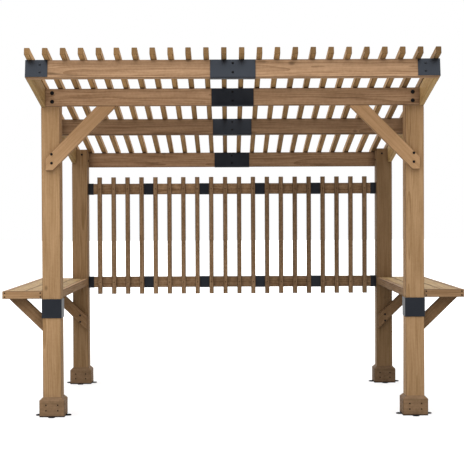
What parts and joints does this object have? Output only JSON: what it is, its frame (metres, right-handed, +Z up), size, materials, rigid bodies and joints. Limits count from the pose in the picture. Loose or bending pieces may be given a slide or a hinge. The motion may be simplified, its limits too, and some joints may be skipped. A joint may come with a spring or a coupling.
{
  "type": "timber bar pergola with lean-to slatted roof, rear screen and side shelves",
  "caption": "Free-standing timber pergola: square posts carry a sloping slatted roof, with a slatted rear screen, braced side shelves and black steel fittings.",
  "frame": {"origin": "on the ground, under the middle of the part in plan", "axes": "+X to the right along the width, +Y from the open front to the rear screen, +Z up"},
  "size_m": [3.521, 2.8486, 2.694],
  "materials": {
    "post_timber": "stained, satin",
    "beam_timber": "stained, satin",
    "brace_and_rail_timber": "stained, satin",
    "roof_slats": "stained, satin",
    "screen_timber": "stained, satin",
    "shelf_boards": "stained, satin",
    "foot_boards": "stained, satin",
    "black_steel": "black powder coat"
  },
  "bodies": {
    "root": {"front_left_post_lower": "post_timber", "front_right_post_lower": "post_timber", "front_left_post_upper": "post_timber", "front_right_post_upper": "post_timber", "back_left_post": "post_timber", "back_right_post": "post_timber", "front_left_foot_boards": "foot_boards", "front_right_foot_boards": "foot_boards", "back_left_foot_boards": "foot_boards", "back_right_foot_boards": "foot_boards", "front_left_base_plate": "black_steel", "front_right_base_plate": "black_steel", "back_left_base_plate": "black_steel", "back_right_base_plate": "black_steel", "left_post_sleeve": "black_steel", "right_post_sleeve": "black_steel", "left_knee_brace": "brace_and_rail_timber", "right_knee_brace": "brace_and_rail_timber", "left_side_beam": "beam_timber", "right_side_beam": "beam_timber", "front_beam": "beam_timber", "front_post_beam": "beam_timber", "middle_beam": "beam_timber", "rear_beam": "beam_timber", "front_beam_saddle": "black_steel", "front_post_beam_saddle": "black_steel", "middle_beam_saddle": "black_steel", "rear_beam_saddle": "black_steel", "left_corner_bracket": "black_steel", "right_corner_bracket": "black_steel", "roof_slats": "roof_slats", "screen_panel_1": "screen_timber", "screen_panel_2": "screen_timber", "screen_panel_3": "screen_timber", "screen_panel_4": "screen_timber", "screen_panel_5": "screen_timber", "screen_clips": "black_steel", "screen_end_brackets": "black_steel", "left_shelf_long_rails": "brace_and_rail_timber", "left_shelf_cross_rails": "brace_and_rail_timber", "left_shelf_deck": "shelf_boards", "left_shelf_braces": "brace_and_rail_timber", "right_shelf_long_rails": "brace_and_rail_timber", "right_shelf_cross_rails": "brace_and_rail_timber", "right_shelf_deck": "shelf_boards", "right_shelf_braces": "brace_and_rail_timber"}
  },
  "joints": []
}
